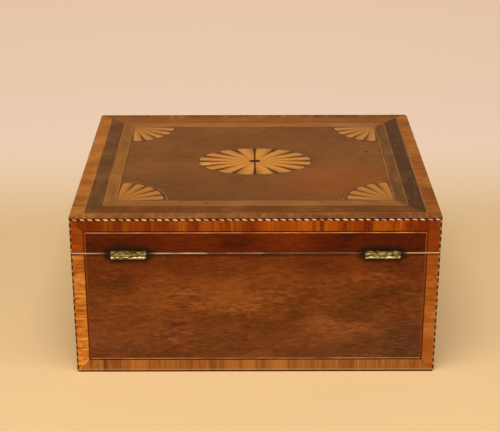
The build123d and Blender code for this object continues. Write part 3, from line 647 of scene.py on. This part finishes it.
def petal_finish(name, tones, scorched, joint_tone):
    """Satinwood in three tones from the heart outwards, scorched along one edge of each petal.
    Gives the finish and a function that colours a place on the inlay."""
    finish = Finish(name, polish_roughness, top_shine)
    silk = finish.noise((1.6, 1.6, 1.6), detail=3.0, seed=71.0)

    def shade(turn, length, joint_width):
        """Turn counts petals round the inlay; length is 0 at the heart and 1 at the tips."""
        side = turn.fraction()
        joint = side.least(1.0 - side)
        body = finish.ramp(silk * 0.35 + length * 0.65, *zip((0.2, 0.5, 0.85), tones))
        scorch = side.rise(0.62, 0.08) * length.rise(0.15, 0.8)
        body = finish.mix(scorch * scorched, body, "85480E")
        hairline = 0.014
        reach = length.rise(0.2, 1.0) * joint_width + hairline
        burnt = length.rise(0.1, 0.32)
        body = finish.mix((joint - reach * 1.7).rise(0.05, -0.03) * burnt * 0.45, body, "7A4210")
        return finish.mix((joint - reach).rise(0.02, -0.02) * burnt * 0.92, body, joint_tone)

    return finish, shade


oval, shade = petal_finish("oval_satinwood", ("C07C32", "CA8A3E", "BE8042"), 0.5, "4E2402")
across, upward = oval.x / oval_reach.x, oval.y / oval_reach.y
turn = (oval.work("ARCTAN2", upward, across) / (2 * math.pi) + 1.0) * oval_petal_count
length = oval.work("SQRT", across * across + upward * upward)
joint_width = abs(across).rise(0.0, 0.5) * 0.05 + 0.06
coloured = shade(turn, length, joint_width)
upright_joint = abs(oval.x).rise(1.1, 0.6)
coloured = oval.mix(upright_joint * 0.9, coloured, "42200A")
pale_tip = oval.patch(oval.x, oval.y, (44.0, 7.0), (6.0, 5.0))
oval.colour(oval.mix(pale_tip * 0.45, coloured, "D8AA80"))
oval.lay_on("oval_petals")

fan, shade = petal_finish("fan_satinwood", ("A0682A", "B47A3A", "BA8446"), 0.5, "683202")
from_end, from_side = fan_corner.x - abs(fan.x), fan_corner.y - abs(fan.y)
turn = fan.work("ARCTAN2", from_side, from_end) / (math.pi / 2) * fan_petal_count
length = fan.work("SQRT", from_end * from_end + from_side * from_side) / fan_radius
coloured = shade(turn, length, joint_width=0.1)
fan.colour(fan.mix(fan.y.rise(-60.0, 60.0) * 0.2, coloured, "7C3E10"))
fan.lay_on("fan_petals")


# Hinges. Cast brass stop hinges, filed, let into the rims and screwed there, dull yellow on what is
# rubbed and nearly black in the corners.
brass = Finish("old_brass", roughness=0.42, metallic=1.0)
tarnish = brass.noise((4.0, 4.0, 1.0), detail=4.0, seed=81.0)
brass.colour(brass.ramp(tarnish, (0.38, "463C18"), (0.5, "8A7C4A"), (0.64, "CABE94")))
brass.relief(brass.noise((0.8, 0.8, 0.8), detail=3.0, seed=82.0), 0.08)
for side in ("left", "right"):
    brass.lay_on(f"hinge_base_leaf_{side}", f"hinge_lid_leaf_{side}", f"hinge_pin_{side}")


# Lock, link plate and keyhole lining. Brighter brass, filed flat and let into the front wall and
# the lid's rim. The screws and the spring are steel.
lock_brass = Finish("filed_brass", roughness=0.34, metallic=1.0)
file_marks = lock_brass.noise((0.25, 6.0, 6.0), detail=2.0, seed=91.0)
dulled = lock_brass.noise((6.0, 6.0, 6.0), detail=4.0)
lock_brass.colour(lock_brass.ramp(dulled, (0.35, "6E5522"), (0.65, "C4A860")))
lock_brass.relief(file_marks, 0.02)
lock_brass.lay_on("lock_plate", "lock_case", "lock_bolt", "lock_drill_pin", "keyhole_escutcheon")
lock_brass.lay_on("link_plate")
steel = Finish("old_steel", roughness=0.45, metallic=1.0)
bloom = steel.noise((1.5, 1.5, 1.5), detail=3.0)
steel.colour(steel.ramp(bloom, (0.35, "3A332C"), (0.7, "7E7468")))
steel.lay_on("hinge_base_screws", "hinge_lid_screws", "lock_screws", "link_plate_screws")
steel.lay_on("lock_spring")


# Paper linings. Plain laid paper, cut to fit the walls, the floor and the lid inside and pasted on.
# It has yellowed and got brown spots of age.
paper = Finish("old_paper", roughness=0.85)
fibres = paper.noise((1.5, 1.5, 1.5), detail=4.0, seed=95.0)
stains = paper.noise((70.0, 70.0, 70.0), detail=5.0, seed=96.0)
foxing = paper.noise((4.0, 4.0, 4.0), detail=2.0, seed=97.0)
sheet_colour = paper.ramp(stains, (0.3, "BCA076"), (0.7, "D6C096"))
paper.colour(paper.mix(foxing.rise(0.68, 0.78) * 0.5, sheet_colour, "8A5A30"))
paper.relief(fibres, 0.06)
paper.lay_on("base_wall_lining", "base_floor_lining", "lid_lining")


# Floor. A plain pale sheet under the box, no part of it. It is paler away from the box, and its far
# end and sides look as pale as the room.
floor_reach = 6.0
floor_mesh = bpy.data.meshes.new("floor")
builder = bmesh.new()
bmesh.ops.create_grid(builder, x_segments=1, y_segments=1, size=floor_reach)
builder.to_mesh(floor_mesh)
builder.free()
floor = bpy.data.objects.new("floor", floor_mesh)
bpy.context.scene.collection.objects.link(floor)
floor_paint = Finish("floor_paint", roughness=0.9, shine=0.05)
behind_the_box = floor_paint.y.rise(-130.0, -450.0)
floor_paint.colour(floor_paint.mix(behind_the_box, "EACA98", "FCE3CE"))
light_path = floor_paint.node("ShaderNodeLightPath").outputs
seen = Measure(floor_paint, light_path["Is Camera Ray"])
seen = seen.most(light_path["Is Glossy Ray"]).most(light_path["Is Transmission Ray"])
far_end = floor_paint.y.rise(-100.0, -1500.0)
far_sides = abs(floor_paint.x).rise(700.0, 2200.0)
glow = far_end * seen * 0.27 + far_sides * seen * 0.3
floor_paint.tree.links.new(glow.socket, floor_paint.shader.inputs["Emission Strength"])
floor_paint.shader.inputs["Emission Color"].default_value = tone("FFD2B0")
floor_mesh.materials.append(floor_paint.material)


# Light. One broad soft lamp high on the hinge side, a weaker one from each side, and a dim room.
# All three lamps point at the middle of the box.
box_middle = Vector((0.0, 0.0, 0.07))


def lamp(name, place, size, power, colour):
    data = bpy.data.lights.new(name, "AREA")
    data.shape, data.size, data.energy, data.color = "SQUARE", size, power, colour
    holder = bpy.data.objects.new(name, data)
    holder.location = place
    holder.rotation_euler = (box_middle - Vector(place)).to_track_quat("-Z", "Y").to_euler()
    bpy.context.scene.collection.objects.link(holder)


lamp("ceiling_lamp", (0.1, 0.9, 2.1), size=1.6, power=39.0, colour=(1.0, 0.97, 0.92))
lamp("left_lamp", (1.5, 0.9, 1.1), size=1.0, power=8.0, colour=(1.0, 0.96, 0.9))
lamp("right_lamp", (-1.5, 0.7, 1.1), size=1.0, power=7.0, colour=(1.0, 0.96, 0.9))
# The room lights the box only a little, and looks about as pale as the far floor.
room_light, room_look = 0.25, 0.74
world = bpy.data.worlds.new("room")
world.use_nodes = True
nodes, links = world.node_tree.nodes, world.node_tree.links
nodes["Background"].inputs["Color"].default_value = tone("F0DAC0")
ray = nodes.new("ShaderNodeLightPath")
seen_room = ray.outputs["Is Camera Ray"]
for kind in ("Is Glossy Ray", "Is Transmission Ray"):
    either = nodes.new("ShaderNodeMath")
    either.operation = "MAXIMUM"
    links.new(seen_room, either.inputs[0])
    links.new(ray.outputs[kind], either.inputs[1])
    seen_room = either.outputs[0]
strength = nodes.new("ShaderNodeMapRange")
strength.inputs["To Min"].default_value = room_light
strength.inputs["To Max"].default_value = room_look
links.new(seen_room, strength.inputs["Value"])
links.new(strength.outputs[0], nodes["Background"].inputs["Strength"])
bpy.context.scene.world = world
bpy.context.scene.view_settings.view_transform = "Standard"


# Camera. It stands on the hinge side and a little above the box, and looks down at it. Place in
# metres, lens in millimetres.
camera_place = (0.00564, 1.05519, 0.55639)
pitch, heading, roll = math.radians(21.57), math.radians(0.07), math.radians(-0.08)
camera_data = bpy.data.cameras.new("camera")
camera_data.sensor_width = 36.0
camera_data.lens = 89.9
camera_data.shift_y = -0.1
camera = bpy.data.objects.new("camera", camera_data)
aim = Matrix.Rotation(math.pi - heading, 4, "Z") @ Matrix.Rotation(math.pi / 2 - pitch, 4, "X")
camera.matrix_world = Matrix.Translation(camera_place) @ aim @ Matrix.Rotation(roll, 4, "Z")
bpy.context.scene.collection.objects.link(camera)
bpy.context.scene.camera = camera
